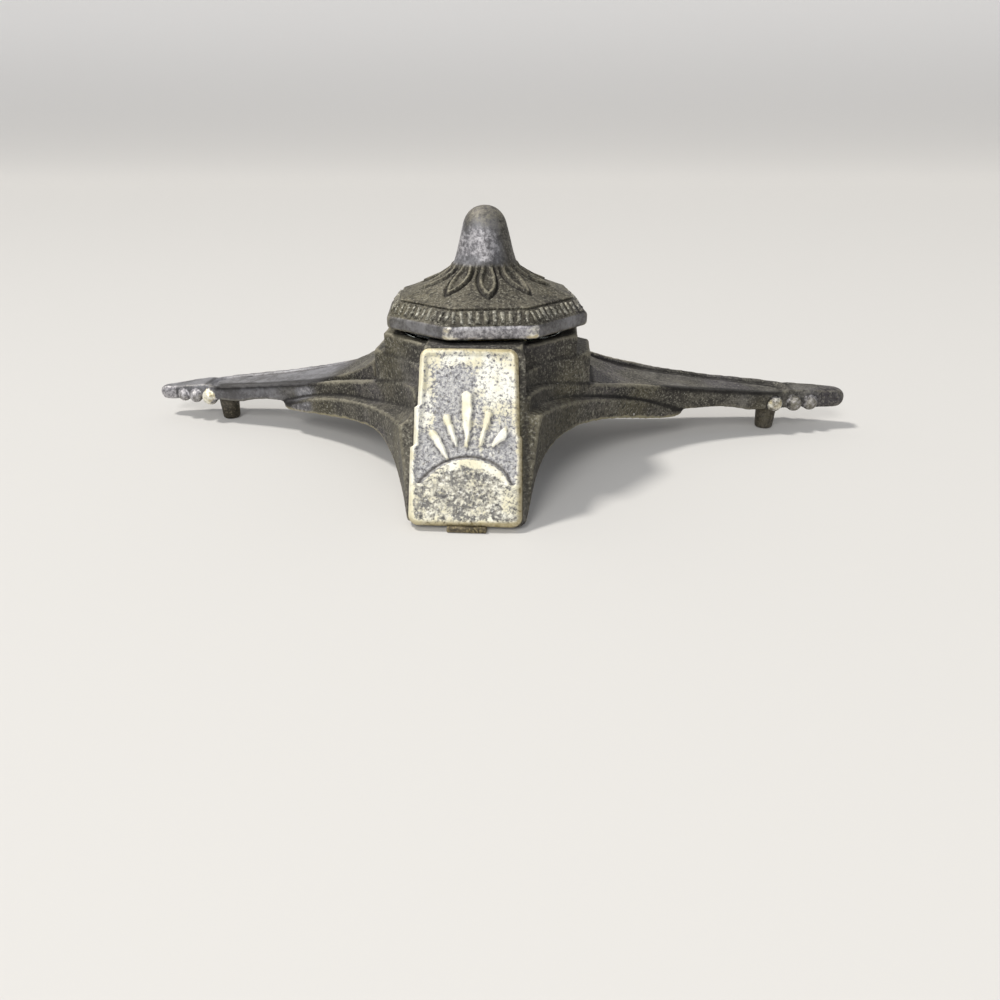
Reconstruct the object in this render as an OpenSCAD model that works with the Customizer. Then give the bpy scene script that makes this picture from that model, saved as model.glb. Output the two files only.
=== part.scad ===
// Cast desk inkstand with a lift-out glass ink cup and a loose eight-sided lid.
// Millimetres, +X along the wings, -Y towards the writer, +Z up, standing on z = 0.

/* [Casting] */
// Reach of each wing tip from the well's axis
wing_reach = 103.2; // [98:0.2:109]
// Height of the well's neck above the table
neck_top = 34.4; // [33:0.1:37]
// Width of the eight-sided neck across its flats
neck_w = 47; // [46:0.1:49]
// Thickness of the cast walls
wall = 2.6; // [2:0.1:3]
// Height of the underside of the wings above the table
wing_lift = 6.6; // [5.5:0.1:7.2]
// Width of the plain band along the edges of a wing
band_w = 1.8; // [1.4:0.1:2.4]
// Width of the groove inside that band
groove_w = 1.5; // [1.1:0.1:1.9]
// Depth of the groove inside that band
groove_d = 1.2; // [0.8:0.1:1.6]
// Width of the slot between the stepped block and the wing's root
slot_w = 1.3; // [0.8:0.1:1.8]

/* [Sun panel] */
// Width of the panel at its top edge
panel_w_top = 23.4; // [22:0.1:24]
// Width of the panel at its bottom edge
panel_w_bottom = 25.6; // [25:0.1:26.4]
// Distance of the panel's top edge in front of the well's axis
panel_y_top = 27.3; // [26.5:0.1:29]
// Distance of the panel's bottom edge in front of the well's axis
panel_y_bottom = 46.9; // [45:0.1:49]
// Height of the panel's top edge above the table
panel_top = 35.2; // [34:0.1:36]
// Height of the panel's bottom edge above the table
panel_lift = 1.3; // [1:0.1:2]
// Thickness of the panel where it stands proud of the leg
panel_t = 1.2; // [0.8:0.1:1.6]
// Radius of the panel's corners
panel_corner = 2.2; // [1.5:0.1:3]
// Width of the raised border round the panel
border_w = 1.3; // [1:0.1:1.8]
// Height of the border, the sun and the rays above the panel
relief = 0.7; // [0.4:0.1:1]
// Half width of the sun where its dome begins
sun_half = 10.2; // [8.5:0.1:10.2]
// Height of the top of the sun up the panel
sun_top = 15; // [13:0.1:16]
// Height at which the sun's dome begins
sun_base = 9; // [7:0.1:10]
// Width of a ray at its inner end
ray_w_in = 0.9; // [0.6:0.1:1.2]
// Width of a ray at its outer end
ray_w_out = 1.9; // [1.4:0.1:2.2]

/* [Feet] */
// Distance of the wing pegs in from the wing tips
peg_in = 23; // [22:0.1:27]
// Distance of the wing pegs behind the well's axis
peg_y = 24.6; // [23.6:0.1:26]
// Diameter of a wing peg at its shoulder
peg_d = 5.8; // [5:0.1:6.4]
// Diameter of a wing peg at its foot
peg_d_foot = 5; // [4:0.1:5]
// Diameter of the spigots that hold the feet
spigot_d = 3.4; // [2.6:0.1:3.6]
// Length of the spigots that hold the feet
spigot_h = 2.4; // [1.8:0.1:2.6]
// Radial clearance of the spigots in their holes
spigot_fit = 0.03; // [0.02:0.01:0.06]
// Gap round a peg where a bead hangs beside it
peg_gap = 0.3; // [0.2:0.1:0.5]
// Width of the foot under the front leg
toe_w = 8.6; // [7:0.1:10]
// Depth of the foot under the front leg, front to back
toe_d = 5.4; // [4.6:0.1:6.4]
// How far that foot shows in front of the panel
toe_out = 0.9; // [0.7:0.1:1.2]

/* [Ink cup] */
// Outside diameter of the glass cup
cup_d = 36; // [34:0.1:37]
// Diameter of the flange that hangs the cup in the neck
cup_flange_d = 40.4; // [39.6:0.1:41]
// Thickness of that flange
cup_flange_h = 3; // [2.4:0.1:3.6]
// How far the flange stands above the neck
cup_stand = 1.6; // [1.2:0.1:2]
// Thickness of the glass wall
glass_wall = 3; // [2.4:0.1:3.4]
// Thickness of the glass floor
glass_floor = 4; // [3:0.1:6]
// Height of the cup's underside above the table
cup_lift = 8; // [7:0.1:10]
// Radial clearance round the cup and round its flange
cup_gap = 0.45; // [0.3:0.05:0.6]

/* [Lid] */
// Width of the lid across its flats
lid_w = 48; // [47:0.1:49]
// Angle by which the loose lid is turned in place
lid_turn = 7.5; // [-20:0.5:20]
// How far the loose lid sits to the right of the well's axis
lid_off = 0.7; // [-0.9:0.1:0.9]
// Height of the lid's upright rim
rim_h = 3.2; // [2.6:0.1:3.8]
// Height of the reeded slope above the rim
reed_h = 3.3; // [2.6:0.1:3.6]
// Number of reeds on each of the eight slopes
reeds = 10; // [6:1:14]
// Width of a reed
reed_w = 0.9; // [0.6:0.1:1.1]
// Height of a reed above its slope
reed_out = 0.35; // [0.2:0.05:0.5]
// Depth of the shadow line under the edge of the roof
eave = 0.5; // [0.3:0.1:0.8]
// Width of the roof across its flats, at its foot
roof_w = 41.6; // [40:0.1:43]
// Height of the roof up to the foot of the knob
roof_h = 6.1; // [5:0.1:7.5]
// Width of the knob where it grows out of the roof
knob_foot_d = 15.8; // [14:0.1:17]
// Width of the knob halfway up
knob_mid_d = 13.2; // [11:0.1:13.8]
// Width of the knob's domed end
knob_top_d = 10.8; // [9:0.1:11.4]
// Height of the knob above the roof
knob_h = 14.1; // [12:0.1:15]
// Number of leaves round the roof
leaves = 10; // [8:1:11]
// Distance of the leaves' points from the lid's axis
leaf_reach = 17.3; // [16.6:0.1:18.4]
// Length of a whole leaf, part of which lies under the knob
leaf_l = 12.8; // [11:0.1:14]
// Width of each leaf where it is widest
leaf_w = 5.6; // [5:0.1:5.8]
// Width of a leaf's raised line and of the groove round it
leaf_line = 0.8; // [0.6:0.05:0.9]
// Height of a leaf's raised line above the roof
leaf_h = 0.4; // [0.3:0.1:0.7]
// Depth of the groove round each leaf
leaf_groove = 0.5; // [0.3:0.05:0.7]
// Gap between the leaves and the knob
leaf_gap = 0.3; // [0.2:0.1:0.6]
// Radial clearance of the lid's centring ring in the cup's mouth
ring_gap = 1.3; // [1.2:0.1:1.8]
// Thickness of that ring
ring_t = 1.5; // [1.2:0.1:2]
// Length of the ring below the lid
ring_h = 3; // [2:0.1:4]
// Length of the ring let into the lid
ring_seat = 1.2; // [0.8:0.1:1.6]
// Radial clearance of the ring in its groove
ring_fit = 0.03; // [0.02:0.01:0.06]

/* [Hidden] */
$fn = 96;
steps = 12;      // straight pieces in each curve of an outline
far = 300;       // longer than the inkstand
overlap = 0.6;   // how deep one cast shape runs into the next

// Stepped block round the neck and the step below it
tier_drop = 5;       // from the neck's top down to the block's
step_drop = 6;       // from there down to the step
tier_out = 3.5;      // how far the block stands out past the neck at its sides and front
tier_out_back = 1.6; // and at its back
block_top = neck_top - tier_drop;
block_x = neck_w / 2 + tier_out;
block_back = neck_w / 2 + tier_out_back;
step_top = block_top - step_drop;

// Slope of the sun panel and its length up the slope
panel_rise = panel_top - panel_lift;
panel_run = panel_y_bottom - panel_y_top;
panel_tilt = atan2(panel_rise, panel_run);
panel_l = norm([panel_rise, panel_run]);
leg_inset = 0.7;  // how far the panel's sides stand out past the leg

// Curves in plan, right half, from the panel to the wing tip and back
tip = [wing_reach, 28.3];
band_x = wing_reach - 23.2;
toe_corner = [panel_w_bottom / 2, -panel_y_bottom];
band_inner = [[12.2, -38], [12.8, -22], [20, -13], [33, -1]];
band_outer = [[33, -1], [40, 6], [52, 14.6], [band_x, 19.8]];
band_end = [[band_x, 19.8], [band_x + 10, 21.8], [band_x + 11, 33.8], [band_x, 34]];
wing_back = [[band_x, 34], [72, 34.2], [64, 33.6], [54, 32.6]];
root_back = [[54, 32.6], [42, 31], [34, 28.4], [12, 28.4]];
block_front = [[panel_w_top / 2, -neck_w / 2 - tier_out], [13, -20], [20, -14.5], [block_x, -6]];
block_side = [block_x, 7];
flange_nose = [[1.8, 0.9], [2.4, 2], [2.4, 4.2]];   // past the end of the flange's edge
flange_back = [[2.4, 20.2], [40, 29.6], [30, 31.4], [12, 31.4]];

// Front and back edge of a wing's tip in plan: its root and the next corner of each curve
tip_root = 6.6;      // past the end of the band, inside its rounded end
tip_front = [23.4, 23.6];
tip_back = [32.6, 32.8];

// Beads of a wing's tip: each one's place past the end of the band, distance back, height and radius
left_beads = [[4.8, 22, 7.2, 2.4], [9.9, 23.5, 6.8, 1.9], [14.1, 24.8, 6.7, 1.8]];
right_beads = [[1.2, 20.8, 8.2, 2.2], [7.3, 22.6, 7.9, 2.2], [12.2, 24, 7.7, 2.1]];
back_beads = [[4.4, 32.2, 7.4, 2.2], [8.8, 31.8, 7.3, 2], [12.8, 31.2, 7.2, 1.9]];

// Heights along the wings, right half, from the middle outwards
skirt_z = 13;   // underside of the block's walls, above both arches
root_under = [[20, skirt_z + 0.4], [34, skirt_z], [46, wing_lift + 2], [60, wing_lift + 1.8]];
wing_under = [[60, wing_lift + 1.8], [66, wing_lift + 1.8], [70, wing_lift + 1.2], [band_x - 6, wing_lift]];

// The two sides of the casting aren't quite alike. Each has six curves: its flange's edge in plan,
// the flange's underside up to the top of the arch, from there to the nose, the flange's top, the
// wing's crest and its band. Its beads follow, and then the heights of the tip's root and of the
// lobe that ends it, with the lobe's radius
band_root = [[12, step_top + 2.4], [24, step_top + 0.2], [40, 12.5]];
arch_foot = [panel_w_bottom / 2, panel_lift];
flange_root = [panel_w_bottom / 2, 22.6];
crest_end = [wing_reach - 8, 9.2];
right_side = [[toe_corner, [15.6, -23], [27, -3], [52.1, 11.8]],
              [arch_foot, [14, 9.5], [15.4, 12.6], [21, 12.8]],
              [[21, 12.8], [30, 12.8], [40, 8.4], [49.9, 6.5]],
              [flange_root, [20, 20], [36, 16], [52.1, 9.3]],
              [[22, neck_top - 8.4], [27, 16.8], [46, 14.4], crest_end],
              [each band_root, [wing_reach, 10.6]], right_beads, [11.6, 8.3, 2.8]];
left_side = [[toe_corner, [17, -30], [22.5, -4.5], [57.2, 11.8]],
             [arch_foot, [19.5, 3.5], [19, 9.6], [26, 10]],
             [[26, 10], [32, 10.2], [42, 7.6], [55, 6.5]],
             [flange_root, [17, 14.6], [36, 16.6], [57.2, 9.3]],
             [[22, neck_top - 1.4], [33, 15.5], [52, 13.2], crest_end],
             [each band_root, [wing_reach, 9.2]], left_beads, [10.6, 6.8, 2.2]];
sides = [right_side, left_side];
hollow_x = 52;  // reach of the hollow under the wings

// Well and cup
seat_z = neck_top + cup_stand - cup_flange_h;
lid_z = neck_top + cup_stand;
cup_hole = cup_d + 2 * cup_gap;
ring_d = cup_d - 2 * glass_wall - 2 * ring_gap;

// Lid heights above its own underside
roof_z = rim_h + reed_h;
knob_z = roof_z + roof_h;
lid_top = knob_z + knob_h;
roof_run = (roof_w - knob_foot_d) / 2;
roof_slope = atan2(roof_h, roof_run);
lid_edge = 0.4;
hollow_r = ring_d / 2 - ring_t - 1.2;
hollow_z = roof_z + (roof_w / 2 - hollow_r) * tan(roof_slope) - wall / cos(roof_slope);

// Place of the feet
peg_x = wing_reach - peg_in;
toe_y = -panel_y_bottom - toe_out + toe_d / 2 + 0.6;

// Place of the well's axis, so that the box round the inkstand is centred
front_reach = panel_y_bottom + toe_out;
back_reach = max([for (b = back_beads) b.y + b[3]]);
well_y = (front_reach - back_reach) / 2;

function unit(v) = v / norm(v);
function left_of(v) = [-v.y, v.x];
function bezier(p, t) = let (s = 1 - t)
    p[0] * s * s * s + 3 * p[1] * s * s * t + 3 * p[2] * s * t * t + p[3] * t * t * t;
function curve(p) = [for (i = [0:steps]) bezier(p, i / steps)];
function tail(p) = [for (i = [1:len(p) - 1]) p[i]];
// A symmetric outline from its right half
function mirrored(p) = concat(p, [for (i = [len(p) - 1:-1:0]) [-p[i].x, p[i].y]]);
// An anticlockwise outline drawn in by d
function inset(p, d) = [for (i = [0:len(p) - 1])
    let (a = p[(i + len(p) - 1) % len(p)], b = p[i], c = p[(i + 1) % len(p)],
         n = left_of(unit(b - a)), m = unit(n + left_of(unit(c - b))))
    b + m * d / (m * n)];
// Corner points of an arc
function arc(c, r, from, to) = [for (i = [0:6]) c + r * [cos(from + (to - from) * i / 6),
                                                         sin(from + (to - from) * i / 6)]];

// Lines of heights for the sweeping shapes
band_under = concat(curve(root_under), tail(curve(wing_under)));
ground = [[0.01, -1], [1, -1]];
function flange_top(side) = let (a = side[3][3])
    concat(curve(side[3]), tail(curve([a, a + [1.4, -0.3], a + [2.4, -0.8], a + [2.4, -1.4]])));
function flange_under(side) = let (a = side[2][3])
    concat(curve(side[1]), tail(curve(side[2])),
        tail(curve([a, a + [2.4, -0.1], a + [4.6, 0.2], a + [4.6, 1.2]])));

// Outlines in plan
function neck_plan() = let (h = neck_w / 2, s = h * tan(22.5))
    mirrored([[s, -h], [h, -s], [h, s], [s, h]]);
function block_plan() = mirrored(concat(curve(block_front), [block_side, [panel_w_top / 2, block_back]]));
function flange_plan(side) = let (a = side[0][3])
    mirrored(concat(curve(side[0]), tail(curve([a, for (q = flange_nose) a + q])),
        curve([a + flange_back[0], each tail(flange_back)])));
function wing_plan() = mirrored(concat(curve(band_inner), tail(curve(band_outer)),
    tail(curve(band_end)), tail(curve(wing_back)), tail(curve(root_back))));

// A solid with outline p in plan, from a line of heights below to a line of heights above
module between(p, top, under, drop = 0) {
    half = concat([for (q = top) q - [0, drop]], [[far, top[len(top) - 1].y - drop]],
        [[far, under[len(under) - 1].y]], [for (i = [len(under) - 1:-1:0]) under[i]]);
    intersection() {
        translate([0, 0, -far / 2]) linear_extrude(far) polygon(p);
        rotate([90, 0, 0]) translate([0, 0, -far / 2]) linear_extrude(far) polygon(mirrored(half));
    }
}

// A plain upright block with outline p
module block(p, z0, z1) translate([0, 0, z0]) linear_extrude(z1 - z0) polygon(p);

// Space behind the sloping plane that lies d behind the panel's face
module behind_panel(d) {
    translate([0, -panel_y_bottom, panel_lift]) rotate([panel_tilt, 0, 0])
        translate([-far / 2, -far / 2, -far - d]) cube(far);
}
module on_panel() translate([0, -panel_y_bottom, panel_lift]) rotate([panel_tilt, 0, 0]) children();

// Panel outline, x across and y up the slope, drawn in by d
function panel_outline(d) = let (w0 = panel_w_bottom / 2 - d, w1 = panel_w_top / 2 - d,
                                 r = max(0.5, panel_corner - d))
    mirrored(concat(arc([w0 - r, d + r], r, -90, 0), arc([w1 - r, panel_l - d - r], r, 0, 90)));

// A ray from its foot on the panel, w wide at its rounded outer end
module ray(foot, angle, length, w) {
    translate(foot) rotate(angle) linear_extrude(relief + overlap) {
        polygon([[-ray_w_in / 2, 0], [ray_w_in / 2, 0], [w / 2, length], [-w / 2, length]]);
        translate([0, length]) circle(d = w, $fn = 24);
    }
}

module sun_panel() {
    sun_r = (sun_half * sun_half + pow(sun_top - sun_base, 2)) / (2 * (sun_top - sun_base));
    // Foot of each ray on the panel, its angle and length, and how much broader its end is than the others
    rays = [[-5, 15.2, 28, 6.2, 1], [-3, 17, 19, 7.4, 0.9], [-0.4, 17.6, 0, 11.6, 1.35],
            [2.2, 17.2, -14, 7.6, 0.9], [5.2, 15.4, -31, 6.2, 1.3]];
    on_panel() {
        translate([0, 0, -panel_t - overlap]) linear_extrude(panel_t + overlap)
            polygon(panel_outline(0));
        translate([0, 0, -overlap]) linear_extrude(relief + overlap) difference() {
            polygon(panel_outline(0));
            polygon(panel_outline(border_w));
        }
        translate([0, 0, -overlap]) linear_extrude(relief + overlap) intersection() {
            polygon(panel_outline(border_w / 2));
            translate([0, sun_top - sun_r]) circle(sun_r);
            translate([-sun_half, 0]) square([2 * sun_half, sun_top]);
        }
        translate([0, 0, -overlap]) linear_extrude(relief + overlap)
            translate([-sun_half, border_w / 2]) square([2 * sun_half, sun_base]);
        for (q = rays) translate([0, 0, -overlap]) ray([q[0], q[1]], q[2], q[3], q[4] * ray_w_out);
    }
}

// Front leg under the panel, drawn in by d, with its underside at z0 and its top at z1
module leg(d, z0, z1) {
    half = [[panel_w_bottom / 2 - leg_inset - d, z0], [panel_w_top / 2 - leg_inset - d, z1]];
    intersection() {
        behind_panel(panel_t + d);
        rotate([90, 0, 0]) translate([0, 0, cup_d / 2]) linear_extrude(far) polygon(mirrored(half));
    }
}

// Quarter of a rounded end: from a, by v, round to a + v + w
function quarter(a, v, w) = let (k = 0.55) tail(curve([a, a + k * v, a + v + (1 - k) * w, a + v + w]));

// The tip beyond a wing's band: a tapering plate that ends in a lobe, with beads along both edges
module wing_tip(side) {
    root_x = band_x + tip_root;
    root_z = side[7][0];
    z = side[7][1];
    r = side[7][2];
    end = wing_reach - r;
    lip = 0.2;  // half the thickness of the lobe's edge
    front = curve([[root_x, tip_front[0]], [root_x + 4, tip_front[1]], [end - 6, tip.y - r - 1],
                   [end, tip.y - r]]);
    back = curve([[end, tip.y + r], [end - 6, tip.y + r + 1.4], [root_x + 5, tip_back[1]],
                  [root_x, tip_back[0]]]);
    top = curve([[root_x, root_z], [root_x + 6, root_z - 0.6], [end - 5, z + r + 0.2], [end, z + r]]);
    under = curve([[root_x, wing_lift], [root_x + 5, wing_lift], [end - 5, z - r], [end, z - r]]);
    between(concat(front, quarter([end, tip.y - r], [r, 0], [0, r]),
                   quarter([wing_reach, tip.y], [0, r], [-r, 0]), back),
            concat(top, quarter([end, z + r], [r, 0], [0, lip - r])),
            concat(under, quarter([end, z - r], [r, 0], [0, r - lip])));
    for (b = concat(side[6], back_beads)) translate([band_x + b.x, b.y, b.z]) sphere(r = b[3], $fn = 48);
}

// Children drawn for the right half with $side set to its curves, and again for the left half
module on_sides() {
    for (i = [0, 1]) let ($side = sides[i]) mirror([i, 0, 0]) intersection() {
        union() children();
        translate([-overlap, -far / 2, -far / 2]) cube(far);
    }
}

module casting_outside() {
    intersection() {
        union() {
            on_sides() {
                between(flange_plan($side), flange_top($side), flange_under($side));
                wing_crest(curve($side[4]));
                difference() {
                    between(wing_plan(), curve($side[5]), band_under);
                    wing_trough(curve($side[5]));
                }
                wing_tip($side);
            }
            block(block_plan(), skirt_z, block_top);
            block(neck_plan(), skirt_z, neck_top);
        }
        behind_panel(panel_t);
    }
    leg(0, panel_lift, panel_top);
    intersection() {
        sun_panel();
        translate([-far / 2, -far / 2, panel_lift]) cube(far);
    }
}

// The sunk way inside a wing's band, down to the bottom of the groove
module wing_trough(band_top) {
    difference() {
        block(inset(wing_plan(), band_w), wing_lift, far);
        between(wing_plan(), band_top, ground, groove_d);
        translate([-block_x, -far / 2, 0]) cube([2 * block_x, far, far]);
    }
}

// The raised crest that climbs from the wing's tip to the neck
module wing_crest(crest_top) {
    slot_end = 14;    // the slot beside the block runs back to here
    front_end = 6;    // in front of this the block stands clear of the crest
    difference() {
        between(inset(wing_plan(), band_w + groove_w), crest_top, band_under);
        translate([-neck_w / 2 + 1.5, -far / 2, 0]) cube([neck_w - 3, far, far]);
        translate([-block_x, -far / 2, 0]) cube([2 * block_x, far / 2 + front_end, far]);
        translate([block_x, -far / 2, step_top - 4]) cube([slot_w, far / 2 + slot_end, far]);
    }
}

module casting_inside() {
    difference() {
        union() {
            on_sides() {
                hollow(flange_plan($side), flange_top($side));
                intersection() {
                    hollow(wing_plan(), curve($side[5]));
                    translate([-hollow_x, -far / 2, -far / 2]) cube([2 * hollow_x, far, far]);
                }
            }
            block(inset(block_plan(), wall), -1, block_top - wall);
            leg(wall, -1, block_top - wall);
        }
        translate([-toe_w / 2 - wall, -panel_y_bottom - 1, 0])
            cube([toe_w + 2 * wall, toe_d + wall + 1, panel_lift + spigot_h + wall]);
    }
}

// The hollow under one of the sweeping shapes
module hollow(p, top) {
    intersection() {
        between(inset(p, wall), top, ground, wall);
        behind_panel(panel_t + wall);
    }
}

module base_casting() color("#5e584a") {
    difference() {
        casting_outside();
        casting_inside();
        cylinder(d = cup_hole, h = far);
        translate([0, 0, seat_z]) cylinder(d = cup_flange_d + 2 * cup_gap, h = far);
        for (side = [-1, 1]) translate([side * peg_x, peg_y, 0]) {
            cylinder(d = spigot_d + 2 * spigot_fit, h = wing_lift + spigot_h);
            cylinder(d = peg_d + 2 * peg_gap, h = wing_lift);
        }
        translate([0, toe_y, panel_lift - 1]) cylinder(d = spigot_d + 2 * spigot_fit, h = spigot_h + 1);
    }
}

module front_foot() color("#6b6455") {
    translate([-toe_w / 2, -panel_y_bottom - toe_out, 0]) cube([toe_w, toe_d, panel_lift]);
    translate([0, toe_y, 0]) cylinder(d = spigot_d, h = panel_lift + spigot_h);
}

module left_peg() color("#4c473c") peg(-1);
module right_peg() color("#4c473c") peg(1);

module peg(side) {
    translate([side * peg_x, peg_y, 0]) rotate_extrude() polygon(concat([[0, 0]],
        arc([peg_d_foot / 2 - 0.8, 0.8], 0.8, -90, 0), [[peg_d / 2, wing_lift],
        [spigot_d / 2, wing_lift], [spigot_d / 2, wing_lift + spigot_h], [0, wing_lift + spigot_h]]));
}

module ink_cup() color("#c9d6cf", 0.6) {
    r = cup_d / 2;
    bore = r - glass_wall;
    translate([0, 0, cup_lift]) rotate_extrude() polygon(concat([[0, 0]],
        arc([r - 2.5, 2.5], 2.5, -90, 0),
        [[r, seat_z - cup_lift], [cup_flange_d / 2, seat_z - cup_lift],
         [cup_flange_d / 2, lid_z - cup_lift], [bore, lid_z - cup_lift]],
        arc([bore - 6, glass_floor + 6], 6, 0, -90), [[0, glass_floor]]));
}

// A frustum of the eight-sided lid, from width w0 at z0 to width w1 at z1
module tapered(w0, z0, w1, z1) {
    translate([0, 0, z0]) rotate(22.5)
        cylinder(d1 = w0 / cos(22.5), d2 = w1 / cos(22.5), h = z1 - z0, $fn = 8);
}

// A ring of leaves seen from above, each one drawn in by d
module leaf_ring(d) {
    r = (leaf_l * leaf_l + leaf_w * leaf_w) / (4 * leaf_w);
    for (i = [0:leaves - 1]) rotate(360 / leaves * i) translate([0, leaf_l / 2 - leaf_reach])
        intersection() {
            translate([r - leaf_w / 2, 0]) circle(r - d);
            translate([leaf_w / 2 - r, 0]) circle(r - d);
        }
}

// An upright band that follows the leaves, from d0 to d1 inside their outline
module leaf_band(d0, d1) {
    translate([0, 0, roof_z - leaf_groove]) linear_extrude(roof_h + leaf_groove + leaf_h) difference() {
        leaf_ring(d0);
        leaf_ring(d1);
        circle(knob_foot_d / 2 + leaf_gap);
    }
}

// The roof's slopes, raised by d
module roof(d) translate([0, 0, d]) tapered(roof_w, roof_z, knob_foot_d, knob_z);

// Short bars side by side up each slope
module reeding() {
    foot = lid_w / 2 - 1.5 * lid_edge;
    head = roof_w / 2 + lid_edge / 2;
    rise = roof_z - eave - rim_h;
    slope_l = norm([foot - head, rise]);
    side_l = 2 * head * tan(22.5);
    tilt = atan2(rise, foot - head);
    reed_l = 0.7 * slope_l;
    for (i = [0:7], j = [0:reeds - 1]) rotate(45 * i)
        translate([side_l * ((j + 0.5) / reeds - 0.5), -foot, rim_h]) rotate([tilt, 0, 0])
            translate([-reed_w / 2, (slope_l - reed_l) / 2, -overlap])
                cube([reed_w, reed_l, overlap + reed_out]);
}

module lid() color("#6a6456") {
    translate([lid_off, 0, lid_z]) rotate(lid_turn) difference() {
        union() {
            tapered(lid_w - 2 * lid_edge, 0, lid_w, lid_edge);
            tapered(lid_w, lid_edge, lid_w, rim_h - lid_edge);
            tapered(lid_w, rim_h - lid_edge, lid_w - 2 * lid_edge, rim_h);
            tapered(lid_w - 3 * lid_edge, rim_h - lid_edge, roof_w + lid_edge, roof_z - eave);
            tapered(roof_w - 2 * eave, roof_z - 2 * eave, roof_w - 2 * eave, roof_z);
            roof(0);
            knob();
            intersection() {
                leaf_band(leaf_line, 2 * leaf_line);
                roof(leaf_h);
            }
            reeding();
        }
        difference() {
            leaf_band(0, leaf_line);
            roof(-leaf_groove);
        }
        rotate_extrude() polygon([[0, -1], [hollow_r, -1], [hollow_r, hollow_z],
            [knob_foot_d / 4, knob_z - wall], [0, knob_z - wall]]);
        translate([0, 0, -1]) difference() {
            cylinder(d = ring_d + 2 * ring_fit, h = ring_seat + 1);
            cylinder(d = ring_d - 2 * ring_t - 2 * ring_fit, h = ring_seat + 1);
        }
    }
}

module knob() {
    dome = knob_top_d / 2;
    rotate_extrude() polygon(concat([[0, roof_z], [knob_foot_d / 2, roof_z]],
        curve([[knob_foot_d / 2, knob_z], [knob_mid_d / 2 + 0.3, knob_z + 2],
               [knob_mid_d / 2, knob_z + 5], [dome, lid_top - dome + 0.6]]),
        tail(curve([[dome, lid_top - dome + 0.6], [dome - 0.6, lid_top - 1.6],
                    [dome * 0.5, lid_top], [0, lid_top]]))));
}

module lid_ring() color("#a8935a") {
    translate([lid_off, 0, lid_z - ring_h]) difference() {
        cylinder(d = ring_d, h = ring_h + ring_seat);
        translate([0, 0, -1]) cylinder(d = ring_d - 2 * ring_t, h = ring_h + ring_seat + 2);
    }
}

module at_well() translate([0, well_y, 0]) children();

at_well() base_casting();
at_well() front_foot();
at_well() left_peg();
at_well() right_peg();
at_well() ink_cup();
at_well() lid();
at_well() lid_ring();
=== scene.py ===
"""A cast desk inkstand: worn patina on the castings, a clear pressed glass cup, a loose lid.
Lengths are in millimetres until a mesh is made."""
import math

import bmesh
import bpy
import numpy as np
from mathutils import Matrix, Vector
from mathutils.bvhtree import BVHTree
from mathutils.kdtree import KDTree


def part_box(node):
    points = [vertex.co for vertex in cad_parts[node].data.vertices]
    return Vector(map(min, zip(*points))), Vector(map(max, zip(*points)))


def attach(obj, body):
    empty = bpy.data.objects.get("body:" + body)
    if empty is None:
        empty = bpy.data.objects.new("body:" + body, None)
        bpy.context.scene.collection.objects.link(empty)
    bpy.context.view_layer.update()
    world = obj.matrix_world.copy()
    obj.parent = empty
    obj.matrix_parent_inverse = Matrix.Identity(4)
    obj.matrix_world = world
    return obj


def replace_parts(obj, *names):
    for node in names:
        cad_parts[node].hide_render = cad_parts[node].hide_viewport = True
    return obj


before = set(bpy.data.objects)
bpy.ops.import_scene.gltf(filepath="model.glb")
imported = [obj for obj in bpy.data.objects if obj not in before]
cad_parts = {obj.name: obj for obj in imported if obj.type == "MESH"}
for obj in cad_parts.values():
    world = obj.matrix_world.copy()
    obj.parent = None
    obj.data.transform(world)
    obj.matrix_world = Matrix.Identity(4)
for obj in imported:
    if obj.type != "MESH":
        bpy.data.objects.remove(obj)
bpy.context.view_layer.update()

MM = 0.001
cup_low, cup_high = (np.array(c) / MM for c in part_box("ink_cup"))
ring_low, ring_high = (np.array(c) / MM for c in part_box("lid_ring"))
WELL = (cup_low + cup_high) / 2                 # middle of the cup, on the well's axis
LID = np.array([*((ring_low + ring_high) / 2)[:2], cup_high[2]])   # centre of the lid's underside
LID_TURN = math.radians(7.5)
FACETS = 8
HALF_FACET = math.pi / FACETS

# Zones of the casting: 0 at the first distance from the inkstand's middle, 1 at the second
WING_ROOT, WING_END, UP_TO_TIP, TIP, LOBE = (42, 50), (86, 82), (86, 83), (84, 87), (94, 98)
BACK_RIM = (26, 29)                             # the same, backwards from the well's axis

# The sloping sun panel: middle of its bottom edge, how far it rises and runs back, and its size
PANEL_FOOT = np.array([0.0, WELL[1] - 46.9, 1.3])
PANEL_RISE, PANEL_RUN = 33.9, 19.6
PANEL_LENGTH = math.hypot(PANEL_RISE, PANEL_RUN)
PANEL_TILT = math.atan2(PANEL_RISE, PANEL_RUN)
PANEL_HALF = (12.8, 11.7)                       # half widths at the bottom and at the top
PANEL_CORNER = 2.2
PANEL_BED, PANEL_BACK = -1.1, -1.9              # behind its face: the casting under it, its own back
# Places up the panel's worn edges, and how far out the edge stands at each. The left edge steps
# outwards twice on its way down. The right one steps once and lies further in.
LEFT_EDGE = (0, 16.9, 17.4, 25.8, 26.2, 39), (0, 0.75, 0.05, 0.4, -0.3, 0)
RIGHT_EDGE = (0, 19.4, 20.0, 39), (-0.9, -0.8, -1.25, -1.6)
# The rising sun: half its width, and the heights of its top and of its base up the panel
SUN_HALF, SUN_TOP, SUN_BASE = 9.9, 14.6, 9.0
TOOTH = 2.9                                     # pitch of the teeth under the sun
RAY_FOOT = 0.45                                 # half width of each ray's foot
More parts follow.
